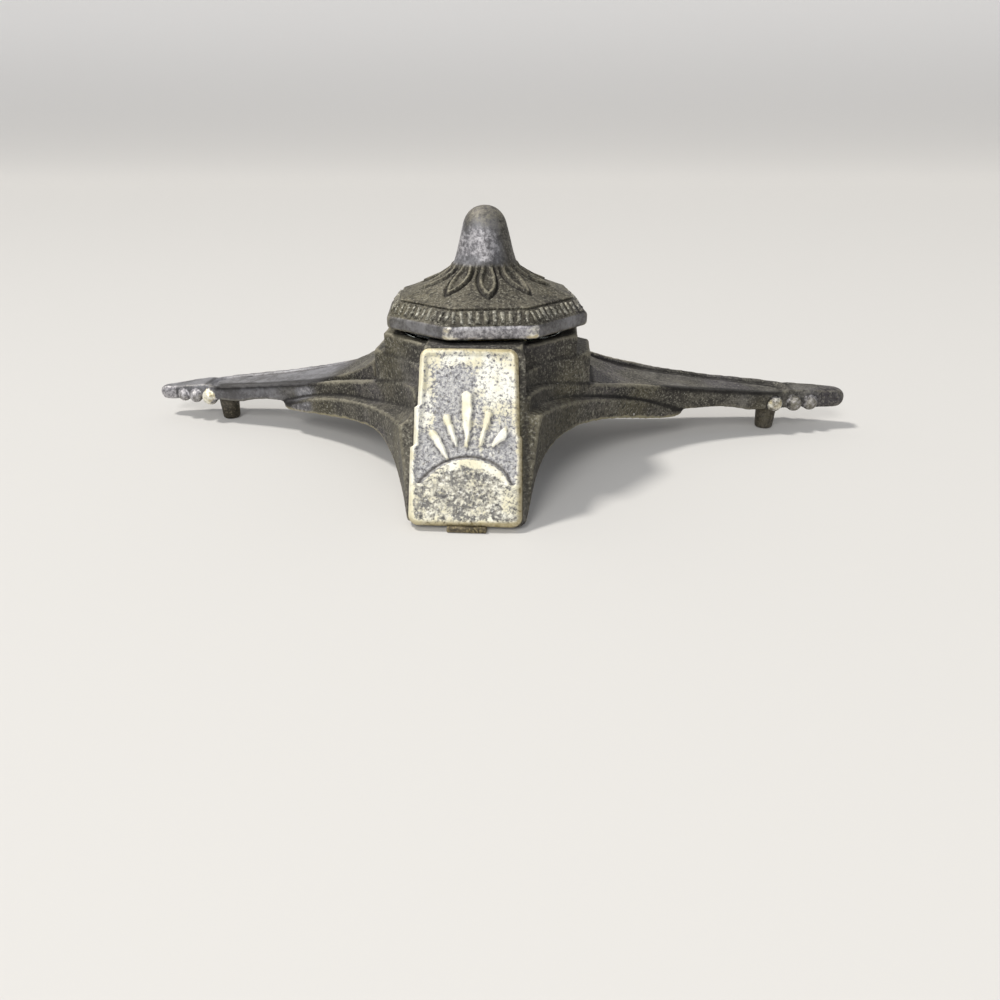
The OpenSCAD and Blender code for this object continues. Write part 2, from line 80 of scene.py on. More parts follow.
# Foot of each ray across and up the panel, its turn, its length and the half width of its end
RAYS = [(-4.7, 14.6, 31, 6.2, 0.85), (-2.8, 17.6, 22, 6.2, 0.8), (-0.5, 17.4, 2, 10.8, 1.25),
        (2.4, 17.7, -14, 6.8, 0.75), (5.2, 17.6, -42, 3.8, 1.05)]

# Beads along the front of each wing's tip: place across, behind the well and up, and radius
BEADS = [(-84.8, 22.0, 7.2, 2.4), (-89.9, 23.5, 6.8, 1.9), (-94.1, 24.8, 6.7, 1.8),
         (81.2, 20.8, 8.2, 2.2), (87.3, 22.6, 7.9, 2.2), (92.2, 24.0, 7.7, 2.1)]
RUBBED_BEADS = {-84.8: 1.0, 81.2: 0.9}          # how bright the two innermost ones are

# The lid: places on its slope of reeds, its roof and its knob, out from the axis and above its underside
SLOPE_FOOT, SLOPE_HEAD = (23.4, 3.2), (21.0, 6.0)
ROOF_FOOT, ROOF_HEAD = (20.8, 6.5), (7.9, 12.6)
KNOB_FOOT, KNOB_NECK, KNOB_TOP = (8.5, 12.4), (5.4, 21.9), (0, 26.7)
LID_SEGMENTS = 384
LEAVES, LEAF_REACH, LEAF_LENGTH, LEAF_WIDTH, LEAF_LINE = 10, 17.3, 12.8, 5.6, 0.8

# The glass cup: half widths of its body, flange and bore, and the thicknesses of flange and floor
CUP_BODY, CUP_FLANGE, CUP_BORE, FLANGE_THICK, CUP_FLOOR = 18, 20.2, 15, 3.0, 4
# The ring: half widths of its bore and its rim, and its ends above the lid's underside
RING_BORE, RING_RIM, RING_LOW, RING_TOP = 12.2, 13.7, -3, 1.2
TURNED_SEGMENTS = 128                           # steps round the cup and the ring


# Sums on arrays of points

def smooth(low, high, x):
    """0 below low, 1 above high, a soft step between; the other way round if low is above high."""
    t = np.clip((x - low) / (high - low), 0, 1)
    return t * t * (3 - 2 * t)


def blob(x, y, across, up, wide, tall):
    """1 in the middle of a soft oval patch, 0 outside it."""
    return smooth(1.3, 0.4, np.hypot((x - across) / wide, (y - up) / tall))


# Odd numbers that scramble a cell's place and the seed into a number of 32 bits
SCRAMBLE_PLACE, SCRAMBLE_SEED, SCRAMBLE = np.array([374761393, 668265263, 1440662683]), 974634777, 1274126177
WORD = 0xFFFFFFFF


def noise(points, size, seed=0):
    """Soft noise from -1 to 1 in blobs about size millimetres across."""
    q = points / size
    cell = np.floor(q).astype(np.int64)
    f = q - cell
    f = f * f * (3 - 2 * f)
    total = np.zeros(len(points))
    for corner in np.ndindex(2, 2, 2):
        h = ((cell + corner) @ SCRAMBLE_PLACE + seed * SCRAMBLE_SEED) & WORD
        h = ((h ^ (h >> 13)) * SCRAMBLE) & WORD
        value = ((h ^ (h >> 16)) & 0xFFFF) / 32767.5 - 1
        total += value * np.prod(np.where(corner, f, 1 - f), axis=1)
    return total


def rough_noise(points, size, seed=0):
    """Three sizes of noise, one on the other."""
    return sum(noise(points, size / 2 ** k, seed + k) / 2 ** k for k in range(3)) / 1.75


def bezier(corners, pieces=14):
    """Points along a curve from its four corners."""
    p = np.array(corners, float)
    t = np.linspace(0, 1, pieces + 1)[:, None]
    s = 1 - t
    return p[0] * s ** 3 + 3 * p[1] * s * s * t + 3 * p[2] * s * t * t + p[3] * t ** 3


# Meshes

def new_piece(name, points, faces, material, body):
    """A smooth-shaded piece from points in millimetres, riding on a body."""
    mesh = bpy.data.meshes.new(name)
    mesh.from_pydata((np.asarray(points) * MM).tolist(), [], faces)
    mesh.update()
    return dress(bpy.data.objects.new(name, mesh), material, body)


def dress(piece, material, body):
    """Puts a finished mesh into the scene with its finish, on its body."""
    bpy.context.scene.collection.objects.link(piece)
    piece.data.shade_smooth()
    piece.data.materials.clear()
    piece.data.materials.append(material)
    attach(piece, body)
    return piece


def read_points(mesh):
    """A mesh's points, in millimetres."""
    co = np.empty(len(mesh.vertices) * 3)
    mesh.vertices.foreach_get("co", co)
    return co.reshape(-1, 3) / MM


def write_points(mesh, points):
    mesh.vertices.foreach_set("co", (points * MM).ravel())
    mesh.update()


def read_normals(mesh):
    n = np.empty(len(mesh.vertices) * 3)
    mesh.vertices.foreach_get("normal", n)
    return n.reshape(-1, 3)


def neighbours_mean(mesh):
    """Gives a function that averages rows of values, one row for each point, over its neighbours."""
    pairs = np.empty(len(mesh.edges) * 2, np.int32)
    mesh.edges.foreach_get("vertices", pairs)
    a, b = pairs.reshape(-1, 2).T
    count = np.bincount(np.concatenate([a, b]), minlength=len(mesh.vertices)).clip(1)

    def mean(values):
        return np.stack([(np.bincount(a, values[:, k][b], len(count))
                          + np.bincount(b, values[:, k][a], len(count))) / count
                         for k in range(values.shape[1])], 1)
    return mean


def spread(mesh, values, passes):
    """Averages values or places over each point's neighbours a few times."""
    mean, rows = neighbours_mean(mesh), values.reshape(len(values), -1)
    for _ in range(passes):
        rows = mean(rows)
    return rows.reshape(values.shape)


def relax(mesh, passes):
    """Rounds off the arrises, as worn cast metal has them."""
    mean, points = neighbours_mean(mesh), read_points(mesh)
    for _ in range(passes):
        points = points + 0.5 * (mean(points) - points)
        points = points - 0.3 * (mean(points) - points)
    write_points(mesh, points)


def soften(mesh, share, passes):
    """Rounds a part of the mesh further, by a share from 0 to 1 for each point."""
    mean, points = neighbours_mean(mesh), read_points(mesh)
    for _ in range(passes):
        points = points + 0.6 * share[:, None] * (mean(points) - points)
    write_points(mesh, points)


def standing_out(mesh, passes):
    """How far each point stands out of the surface round it."""
    points = read_points(mesh)
    out = np.einsum("ij,ij->i", points - spread(mesh, points, passes), read_normals(mesh))
    return spread(mesh, out, passes=2)


def add_fields(mesh, **fields):
    """Keeps numbers from 0 to 1 for each point, for the finish to read."""
    for name, values in fields.items():
        values = np.broadcast_to(np.clip(values, 0, 1), len(mesh.vertices))
        mesh.attributes.new(name, "FLOAT", "POINT").data.foreach_set("value", values.astype(np.float32))


def node_solid(node):
    """A node's solid with its loose triangles joined."""
    bm = bmesh.new()
    bm.from_mesh(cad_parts[node].data)
    bmesh.ops.remove_doubles(bm, verts=bm.verts, dist=0.002 * MM)
    return bm


def lay_on(mesh, solid, share):
    """Draws points back onto the solid they came from, by a share from 0 to 1 for each point."""
    skin, points = BVHTree.FromBMesh(solid), read_points(mesh)
    for i in np.nonzero(share > 0.01)[0]:
        place = skin.find_nearest(points[i] * MM)[0]
        points[i] += share[i] * (np.array(place) / MM - points[i])
    write_points(mesh, points)


def from_folds(points, solid, inward, sharp=0.5, spacing=0.3):
    """How far each point lies from the solid's inward or outward folds of more than sharp radians."""
    places = []
    for edge in solid.edges:
        angle = edge.calc_face_angle_signed(0)
        if (-angle if inward else angle) > sharp:
            a, b = (v.co / MM for v in edge.verts)
            pieces = max(1, int((b - a).length / spacing))
            places += [a.lerp(b, k / pieces) for k in range(pieces + 1)]
    tree = KDTree(len(places))
    for i, place in enumerate(places):
        tree.insert(place, i)
    tree.balance()
    return np.array([tree.find(p)[2] for p in points])


def solid_remesh(mesh, voxel):
    """The mesh wrapped in an even skin of small quads."""
    for v in mesh.vertices:
        v.co /= MM
    carrier = bpy.data.objects.new("carrier", mesh)
    bpy.context.scene.collection.objects.link(carrier)
    wrap = carrier.modifiers.new("skin", "REMESH")
    wrap.mode, wrap.voxel_size = "VOXEL", voxel
    even = bpy.data.meshes.new_from_object(carrier.evaluated_get(bpy.context.evaluated_depsgraph_get()))
    bpy.data.objects.remove(carrier)
    for v in even.vertices:
        v.co *= MM
    even.update()
    return even


def cast_copy(node, voxel):
    """A node's solid wrapped in an even skin."""
    mesh = bpy.data.meshes.new(node + "_copy")
    bm = node_solid(node)
    bm.to_mesh(mesh)
    bm.free()
    return solid_remesh(mesh, voxel)


def turned(profile, segments):
    """Points and faces of a shape turned about the upright axis; the profile runs closed or axis to axis."""
    profile = np.array(profile, float)
    angle = np.arange(segments) * 2 * math.pi / segments
    ring = np.stack([np.cos(angle), np.sin(angle)], 1)
    points = np.concatenate([np.column_stack([ring * r, np.full(segments, z)]) for r, z in profile])
    rows = len(profile)
    faces = []
    for i in range(rows):
        j = (i + 1) % rows
        if profile[i][0] == profile[j][0] == 0:
            continue
        for k in range(segments):
            m = (k + 1) % segments
            faces.append([i * segments + k, i * segments + m, j * segments + m, j * segments + k])
    return points, faces


def weld(mesh):
    """Joins points that meet and turns the faces outwards."""
    bm = bmesh.new()
    bm.from_mesh(mesh)
    bmesh.ops.remove_doubles(bm, verts=bm.verts, dist=0.001 * MM)
    bmesh.ops.dissolve_degenerate(bm, edges=bm.edges, dist=0.0005 * MM)
    bmesh.ops.recalc_face_normals(bm, faces=bm.faces)
    bm.to_mesh(mesh)
    bm.free()


# Node trees

class Term:
    """A socket that takes part in sums; each operator adds a Math node."""

    def __init__(self, tree, socket):
        self.tree, self.socket = tree, socket

    def sum(self, operation, *others, clamp=False):
        return self.tree.node("ShaderNodeMath", {"operation": operation, "use_clamp": clamp},
                              dict(enumerate((self, *others))))

    def __add__(self, other): return self.sum("ADD", other)
    def __sub__(self, other): return self.sum("SUBTRACT", other)
    def __mul__(self, other): return self.sum("MULTIPLY", other)
    def __truediv__(self, other): return self.sum("DIVIDE", other)
    def __radd__(self, other): return self + other
    def __rmul__(self, other): return self * other
    def __rsub__(self, other): return self * -1 + other
    def clamp(self): return self.sum("ADD", 0.0, clamp=True)

    def step(self, low, high):
        """0 below low, 1 above high, soft between; the other way round if low is above high."""
        return self.tree.node("ShaderNodeMapRange", {"interpolation_type": "SMOOTHSTEP"},
                              {"Value": self, "From Min": low, "From Max": high})


class Tree:
    """A node tree that is written as sums."""

    def __init__(self, nodes):
        self.nodes = nodes

    def node(self, kind, settings=None, values=None, out=0):
        """Adds a node, sets it up, fills or links its sockets, and gives one output as a Term."""
        made = self.nodes.nodes.new(kind)
        for key, value in (settings or {}).items():
            setattr(made, key, value)
        for key, value in (values or {}).items():
            if isinstance(value, Term):
                self.nodes.links.new(value.socket, made.inputs[key])
            else:
                made.inputs[key].default_value = value
        return Term(self, made.outputs[out])


def srgb(r, g, b):
    """A colour given as it looks on screen, 0 to 255."""
    return tuple(((c / 255 + 0.055) / 1.055) ** 2.4 if c > 10 else c / 255 / 12.92 for c in (r, g, b))


class Finish(Tree):
    """A material's node tree around one Principled shader."""

    def __init__(self, name):
        self.material = bpy.data.materials.new(name)
        self.material.use_nodes = True
        super().__init__(self.material.node_tree)
        self.shader = next(n for n in self.nodes.nodes if n.type == "BSDF_PRINCIPLED")
        self.place = self.node("ShaderNodeTexCoord", out="Object")

    def field(self, name):
        """Numbers that add_fields kept for each point."""
        return self.node("ShaderNodeAttribute", {"attribute_name": name}, out="Fac")

    def noise(self, size, detail=3.0, rough=0.55, place=None):
        """Soft noise from 0 to 1, size millimetres across."""
        return self.node("ShaderNodeTexNoise", None,
                         {"Vector": place or self.place, "Scale": 1 / (size * MM), "Detail": detail,
                          "Roughness": rough})

    def stretched(self, x, y, z):
        """The place scaled along each axis, which squeezes a pattern along it."""
        return self.node("ShaderNodeMapping", None, {"Vector": self.place, "Scale": (x, y, z)})

    def mix(self, share, a, b):
        """Colour a turning into colour b as share goes from 0 to 1."""
        colours = {k: (v if isinstance(v, Term) else (*v, 1)) for k, v in ((6, a), (7, b))}
        return self.node("ShaderNodeMix", {"data_type": "RGBA"}, {0: share, **colours}, out=2)

    def bump(self, height, depth):
        """Fine relief of up to depth millimetres."""
        return self.node("ShaderNodeBump", None, {"Height": height, "Distance": depth * MM})

    def set(self, **values):
        """Sets or links the shader's sockets and gives the finished material."""
        for key, value in values.items():
            socket = self.shader.inputs[key.replace("_", " ")]
            if isinstance(value, Term):
                self.nodes.links.new(value.socket, socket)
            else:
                socket.default_value = value
        return self.material


# Colours that all castings share; pairs run from the darker to the paler
OLIVE_CLOUDS, LILAC_CLOUDS = srgb(106, 100, 74), srgb(88, 84, 92)
PITS, PAINTED_SHADE, SPARKS = srgb(34, 31, 29), srgb(22, 19, 17), srgb(212, 210, 202)
RIDGES, ARRISES = srgb(158, 152, 132), srgb(172, 164, 134)
SLEEK_GREY = srgb(95, 94, 96), srgb(146, 146, 151)
SILVER_SHEEN_GREY = srgb(142, 139, 143), srgb(206, 203, 205)
BARE_BRASS = srgb(200, 188, 152), srgb(248, 244, 228)


def patina(name, dark, mid, pale, wear=0.45):
    """Old cast brass: a granular crust in three tones, sleek where it is smooth, paler by wear on its ridges
    and rubbed through to the brass in places; darkened where its hollow field asks, as painted shade in the
    casting's folds, and painted with a silvery-grey sheen where another field asks, in places on the metal's
    own silvery tone."""
    f = Finish(name)
    ridge, hollow, arris = f.field("ridge"), f.field("hollow"), f.field("arris")
    polish, silk, silver = f.field("polish"), f.field("silk"), f.field("silver")
    cloud, blotch, sparks = f.noise(24, 2), f.noise(7, 4), f.noise(1.4, 1, 0.5)
    grain, grit = f.noise(0.95, 3, 0.7), f.noise(0.55, 2, 0.6)
    base = f.mix(blotch.step(0.38, 0.64), dark, mid)
    base = f.mix(cloud.step(0.48, 0.66) * 0.4, base, OLIVE_CLOUDS)
    base = f.mix(cloud.step(0.46, 0.34) * 0.45, base, LILAC_CLOUDS)
    base = f.mix(grit.step(0.5, 0.66) * (0.8 - silk * 0.6), base, pale)
    base = f.mix(grain.step(0.52, 0.36) * (0.75 - silk * 0.55), base, PITS)
    base = f.mix(sparks.step(0.75, 0.79) * (0.7 - silk * 0.6), base, SPARKS)
    sleek = f.mix((blotch * 0.6 + grain * 0.4).step(0.38, 0.62), *SLEEK_GREY)
    base = f.mix((silk * 1.1 + blotch * 0.5 - 0.25).step(0.1, 0.9) * 0.85, base, sleek)
    # The hollow field darkens towards near black: painted shade in the casting's folds, along the top front
    # edge of each wing and on the front leg's right side; on the lid and the feet it darkens the dips, on
    # the reeds random patches
    base = f.mix((hollow * 1.5).clamp() * 0.85, base, PAINTED_SHADE)
    base = f.mix((ridge * 1.1 + grain - 0.72).step(0.15, 0.9) * wear, base, RIDGES)
    base = f.mix((arris * 1.2 + grain * 0.8 - 0.6).step(0.0, 0.8) * 0.7, base, ARRISES)
    # Painted sheen: grained silvery grey where its field asks, in places on the metal's own silvery tone
    grained_sheen = f.mix((grain * 0.7 + grit * 0.3).step(0.4, 0.6), *SILVER_SHEEN_GREY)
    base = f.mix((silver * 1.2 + grain * 1.2 - 0.9).step(0.0, 0.7) * 0.85, base, grained_sheen)
    bright = (polish * 1.3 + grain * 1.1 - 0.8).step(0.05, 0.7)
    base = f.mix(bright, base, f.mix(sparks.step(0.35, 0.6), *BARE_BRASS))
    return f.set(Base_Color=base, Metallic=0.5 + silk * 0.12 - bright * 0.1,
                 Roughness=0.6 - silk * 0.14 + grain * 0.12 - bright * 0.1,
                 Normal=f.bump(grain * (0.8 - silk * 0.5) + grit * (0.4 - silk * 0.3), 0.2))


# Casting

def panel_place(points):
    """Places on the panel: across it, up it, and out of its face."""
    q = points - PANEL_FOOT
    c, s = math.cos(PANEL_TILT), math.sin(PANEL_TILT)
    return q[:, 0], q[:, 1] * c + q[:, 2] * s, q[:, 2] * c - q[:, 1] * s


def from_panel(u, v, n):
    """Points in the inkstand's frame from places on the panel."""
    c, s = math.cos(PANEL_TILT), math.sin(PANEL_TILT)
    return PANEL_FOOT + np.stack([u, v * c - n * s, v * s + n * c], 1)


def inside_panel(u, v):
    """How far a place lies inside the panel's rounded outline."""
    half = PANEL_HALF[0] + (PANEL_HALF[1] - PANEL_HALF[0]) * v / PANEL_LENGTH
    x, y, r = half - np.abs(u), np.minimum(v, PANEL_LENGTH - v), PANEL_CORNER
    corner = r - np.hypot(np.maximum(r - x, 0), np.maximum(r - y, 0))
    return np.where((x < r) & (y < r), corner, np.minimum(x, y))


def press_panel_bed(mesh):
    """Presses the place of the panel in, and says which points lie there."""
    points = read_points(mesh)
    u, v, n = panel_place(points)
    under = (inside_panel(u, v) > -1.2) & (n > PANEL_BED)
    points[under] = from_panel(u, v, np.minimum(n, PANEL_BED))[under]
    write_points(mesh, points)
    return under


def near_beads(points):
    """1 at points off the beads and 0 on them, and how bright the rubbed beads are at each point."""
    off_beads, rubbed = np.ones(len(points)), np.zeros(len(points))
    for bx, by, bz, radius in BEADS:
        away = np.linalg.norm(points - (bx, WELL[1] + by, bz), axis=1)
        off_beads = np.minimum(off_beads, smooth(radius + 0.2, radius + 0.9, away))
        rubbed = np.maximum(rubbed, smooth(radius + 0.7, radius - 0.3, away) * RUBBED_BEADS.get(bx, 0))
    return off_beads, rubbed


def casting_wear(mesh, solid, edges, off_beads, rubbed):
    """Keeps the casting's wear, its painted shade and its painted sheen for its finish, and says how silky
    each point is.
    """
    points, normals, out = read_points(mesh), read_normals(mesh), standing_out(mesh, passes=4)
    x, y, z = points.T
    reach, back = np.abs(x), y - WELL[1]
    upward, ahead = smooth(0.3, 0.7, normals[:, 2]), smooth(-0.2, -0.6, normals[:, 1])
    behind, back_rim = smooth(8, 13, back), smooth(*BACK_RIM, back)
    # The wings are rubbed silky and the rest in patches; the left wing more than the right, which also
    # paints the light from the left: the left paler, the right darker
    wing = behind * (upward * smooth(36, 54, reach) + (1 - upward) * smooth(44, 76, reach))
    patches = 0.25 * smooth(-0.3, 0.7, noise(points, 9, 40))
    silk = wing * np.where(x < 0, 0.95, 0.25) + patches * (1 - wing)
    left_nose = blob(x, back, -53, 10, 5, 5) * smooth(0.5, 0.0, normals[:, 2])
    # Painted shade darkens the folds, the strip along the front edge on top of each wing, and the front
    # leg's right side, which faces away from the key light
    crease_shade = smooth(0.85, 0.25, from_folds(points, solid, inward=True))
    crease_shade = crease_shade * (0.45 + 0.55 * smooth(20, 34, reach)) * (1 - 0.5 * smooth(80, 84, reach))
    lip_shade = smooth(1.0, 0.3, edges) * smooth(36, 44, reach) * smooth(86, 80, reach)
    lip_shade = lip_shade * smooth(0.0, 0.5, normals[:, 2]) * smooth(30, 24, back) * behind
    lip_shade = np.clip(spread(mesh, lip_shade, passes=3) * 1.5, 0, 1)
    shade = 0.3 * smooth(0.4, 0.8, normals[:, 0]) * smooth(9, 11, x) * smooth(-12, -18, back)
    # Ridges are worn pale, most of all the low edges in front
    ridge = np.clip((out - 0.02) / 0.16, 0, 1) * (1 - lip_shade)
    ridge = ridge * (1 - 0.7 * smooth(*WING_ROOT, reach) * back_rim)
    low_edge = ridge * smooth(0.1, -0.25, normals[:, 2]) * smooth(14, 12, z) * smooth(12, 15, reach)
    # Painted sheen in silvery grey, in places on the metal's own silvery tone: on the front of the lobes
    # that end the wings and of the beads, strongest on the left, in a band on top of the left wing, and on
    # the left flange's nose
    end = np.where(x < 0, 0.75, 0.15) * smooth(96, 97.5, reach) * ahead
    beads = np.where(x < 0, 0.7, 0.45) * (1 - off_beads) * ahead
    top = 0.25 * upward * smooth(-40, -62, x) * smooth(-84, -78, x) * smooth(1.0, 2.4, edges)
    add_fields(mesh, ridge=ridge, hollow=np.maximum.reduce([crease_shade, lip_shade, shade]),
               arris=low_edge * smooth(16, 12, back), silk=np.maximum(silk, left_nose * 0.8),
               silver=np.maximum.reduce([end, beads, top, 0.4 * left_nose]),
               polish=rubbed * (0.75 + 0.5 * noise(points, 1.3, 41)))
    return silk


def casting_mesh():
    """The casting with worn arrises, cast pits and uneven skin; the place of the panel is pressed in."""
    mesh, solid = cast_copy("base_casting", voxel=0.54), node_solid("base_casting")
    under_panel = press_panel_bed(mesh)
    relax(mesh, passes=2)
    lay_on(mesh, solid, smooth(*UP_TO_TIP, np.abs(read_points(mesh)[:, 0])) * ~under_panel)
    relax(mesh, passes=1)
    points = read_points(mesh)
    reach, back = np.abs(points[:, 0]), points[:, 1] - WELL[1]
    edges = from_folds(points, solid, inward=False)
    off_beads, rubbed = near_beads(points)
    soften(mesh, smooth(*TIP, reach) * (0.35 + 0.65 * smooth(*LOBE, reach)) * off_beads, passes=16)
    along_wing = smooth(*WING_ROOT, reach) * smooth(*WING_END, reach)
    rounded_edges = np.maximum(smooth(*BACK_RIM, back), 0.9 * smooth(1.5, 0.7, edges))
    soften(mesh, along_wing * rounded_edges, passes=7)
    silk = casting_wear(mesh, solid, edges, off_beads, rubbed)
    solid.free()
    points = read_points(mesh)
    pits = np.clip(noise(points, 2.1, 9) - 0.45, 0, 1) * (1 - silk)
    grain = 0.05 * rough_noise(points, 1.3, 3) * (1 - 0.6 * silk)
    height = grain + 0.09 * noise(points, 7, 5) - 0.2 * pits
    write_points(mesh, points + read_normals(mesh) * height[:, None])
    return mesh


casting_patina = patina("casting_patina", srgb(66, 63, 58), srgb(98, 94, 84), srgb(146, 143, 130))
casting = dress(bpy.data.objects.new("casting", casting_mesh()), casting_patina, "base")
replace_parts(casting, "base_casting")


# Sun panel

def in_sun(u, v):
    """How far a place lies inside the sun."""
    radius = (SUN_HALF ** 2 + (SUN_TOP - SUN_BASE) ** 2) / (2 * (SUN_TOP - SUN_BASE))
    dome = radius - np.hypot(u, v - SUN_TOP + radius)
    below = 3 + SUN_BASE - v - smooth(SUN_HALF - 3, SUN_HALF + 1, np.abs(u)) * 2
    return np.where(v > SUN_BASE, dome, below)


def panel_noise(u, v, size, seed):
    """Soft noise that runs straight through the panel."""
    return noise(np.column_stack([u, v, 0 * u]), size, seed)


def ray_shape(u, v):
    """Height of the club-shaped rays, from 0 to 1."""
    height = np.zeros(len(u))
    waver = 0.15 * panel_noise(u, v, 1.2, 50)
    for x, y, turn, length, end in RAYS:
        a = math.radians(turn)
        along = -(u - x) * math.sin(a) + (v - y) * math.cos(a)
        across = (u - x) * math.cos(a) + (v - y) * math.sin(a)
        t = np.clip(along / length, 0, 1)
        gap = np.hypot(across, along - t * length) - (RAY_FOOT + (end - RAY_FOOT) * smooth(0, 0.85, t))
        height = np.maximum(height, smooth(0.28, -0.32, gap + waver))
    return height


def border_shape(u, v):
    """Height of the border, from 0 to 1, with small teeth along the bottom under the sun."""
    teeth = smooth(0.35, 1.0, np.abs((u / TOOTH + 0.25) % 1 - 0.5) * 2) * smooth(10.5, 9, np.abs(u))
    edge = inside_panel(u, v) + 0.3 * panel_noise(u, v, 2.3, 51)
    low = np.where(v < 5, v - teeth, edge)
    return smooth(2.1, 0.9, np.minimum(edge, low))


def panel_outline():
    """The panel's rounded outline, across and up."""
    right, r = [], PANEL_CORNER
    for half, middle, start in ((PANEL_HALF[0], r, -1), (PANEL_HALF[1], PANEL_LENGTH - r, 0)):
        for i in range(9):
            a = (start + i / 8) * math.pi / 2
            right.append((half - r + r * math.cos(a), middle + r * math.sin(a)))
    return np.array(right + [(-x, y) for x, y in reversed(right)])


def panel_blank():
    """The plain plate that the panel is worked from, wrapped in an even skin."""
    u, v = panel_outline().T
    count = len(u)
    points = np.concatenate([from_panel(u, v, np.full(count, height)) for height in (PANEL_BACK, 0)])
    faces = [list(range(count))[::-1], list(range(count, 2 * count))]
    faces += [[i, (i + 1) % count, count + (i + 1) % count, count + i] for i in range(count)]
    plate = bpy.data.meshes.new("sun_panel")
    plate.from_pydata((points * MM).tolist(), [], faces)
    return solid_remesh(plate, voxel=0.21)


def rubbed_bare(u, v, edge, sun, disc, rays, border):
    """Where the crust is gone: the rays, the border, the sun's rim, the top and patches at both sides; along
    the left edge it also stands for a painted highlight.
    """
    bare = np.maximum.reduce([
        rays * 1.05, border * 0.62, disc * smooth(3.4, 1.0, sun) * (0.62 + 0.3 * smooth(-8, 0, u)),
        0.66 * blob(u, v, 6.5, 31, 7.5, 10), 0.66 * smooth(32.5, 36, v), 0.6 * blob(u, v, -10, 30, 3, 8),
        0.66 * blob(u, v, -9.5, 23, 2.2, 3.5), 0.6 * disc * blob(u, v, 9, 6, 3.4, 6),
        0.36 * disc, 0.36 * blob(u, v, 3, 22, 9, 9), 0.7 * blob(u, v, 9.8, 27, 1.2, 8)])
    # More crust is left above the rays and at the sun's left; along the left edge less is left, which stands
    # for a painted highlight of the light from the left
    bare = bare - 0.3 * blob(u, v, -3.5, 31, 4.5, 3) - 0.25 * blob(u, v, -9, 14, 4, 4)
    return bare + 0.35 * smooth(1.4, 0.6, edge) * smooth(-8, -10.5, u)


def panel_mesh():
    """The proud face of the front leg with its border, sun and rays, all softened by rubbing."""
    mesh = panel_blank()
    points = read_points(mesh)
    u, v, n = panel_place(points)
    edge, face = np.clip(inside_panel(u, v), 0, None), smooth(-1.5, -0.1, n)
    sun, rays, border = in_sun(u, v), ray_shape(u, v), border_shape(u, v)
    disc = smooth(-0.2, 0.4, sun) * (0.9 + 0.1 * smooth(0, 5, sun))
    line = smooth(-1.0, -0.5, sun) * smooth(-0.05, -0.35, sun) * (1 - border)
    relief = np.maximum.reduce([border * 0.75, disc, rays])
    round_edge = 1.1 + 0.8 * smooth(6, 11, u) + 0.5 * smooth(34, 38, v)
    rounding = 1.0 - np.sqrt(1.0 - np.clip(1.0 - edge / round_edge, 0, 1) ** 2)
    dents = 0.05 * rough_noise(points, 2.0, 21) + 0.06 * noise(points, 5, 22)
    n = n + face * (0.58 * relief - 0.25 * line - 0.95 * rounding + dents)
    left, right = np.interp(v, *LEFT_EDGE), np.interp(v, *RIGHT_EDGE)
    u = u - left * smooth(-7, -11, u) + right * smooth(7, 11, u)
    write_points(mesh, from_panel(u, v, n))
    relax(mesh, passes=1)
    out, bare = standing_out(mesh, passes=8), rubbed_bare(u, v, edge, sun, disc, rays, border)
    # The outline is golden olive, strongest on the right, the top and the bottom; on the right it is partly
    # painted shade on the side away from the key light
    rim = 0.25 + 0.75 * smooth(-6, 8, u) + 0.6 * smooth(34, 38, v) + 0.6 * smooth(3, 0.5, v)
    rim = np.maximum(rim * smooth(1.5, 0.1, edge), 1 - face)
    add_fields(mesh, bare=bare * face, disc=disc * face, rim=rim, ridge=out / 0.3,
               hollow=np.maximum(-out / 0.25, line * 0.8))
    return mesh


def panel_finish():
    """Ivory-pale rubbed brass, speckled lilac-grey where the old crust is left."""
    f = Finish("panel_brass")
    bare, disc, rim, ridge, hollow = (f.field(name) for name in ("bare", "disc", "rim", "ridge", "hollow"))
    patch, mottle = f.noise(5, 2), f.noise(2.0, 4, 0.62)
    fine, grit = f.noise(0.75, 3, 0.7), f.noise(0.6, 2, 0.6)
    crust = f.mix(fine.step(0.4, 0.6), srgb(140, 139, 142), srgb(198, 198, 198))
    olive = f.mix(mottle.step(0.42, 0.6), srgb(100, 98, 90), srgb(184, 179, 161))
    crust = f.mix(disc * 0.75, crust, olive)
    crust = f.mix(grit.step(0.46, 0.34) * 0.7, crust, srgb(62, 59, 60))
    crust = f.mix(grit.step(0.58, 0.68) * 0.75, crust, srgb(232, 230, 224))
    metal = f.mix(patch.step(0.4, 0.62), srgb(230, 224, 196), srgb(248, 246, 233))
    # The crust wears through in specks: the field of wear, with the painted highlight on the left edge,
    # decides, and the noises break its edge up
    gone = (bare + (mottle - 0.5) * 0.8 + (fine - 0.5) * 1.6 + (grit - 0.5) * 0.8 - 0.54).step(-0.26, 0.26)
    base = f.mix(gone, crust, metal)
    # Golden olive along the outline, partly painted shade on the right
    base = f.mix((rim * 1.1 + (fine - 0.5) * 1.2).clamp() * 0.75, base, srgb(168, 152, 104))
    base = f.mix((hollow * 1.3).clamp() * 0.75, base, srgb(62, 56, 50))
    base = f.mix((ridge * 1.1 + (fine - 0.5) * 1.2 - 0.25).clamp() * 0.55, base, srgb(246, 241, 218))
    return f.set(Base_Color=base, Roughness=0.55 - gone * 0.1 + fine * 0.1, Metallic=0.18 + rim * 0.35,
                 Normal=f.bump(fine * 0.5 + grit * 0.3 + mottle * 0.4, 0.22))


dress(bpy.data.objects.new("sun_panel", panel_mesh()), panel_finish(), "base")


# Feet

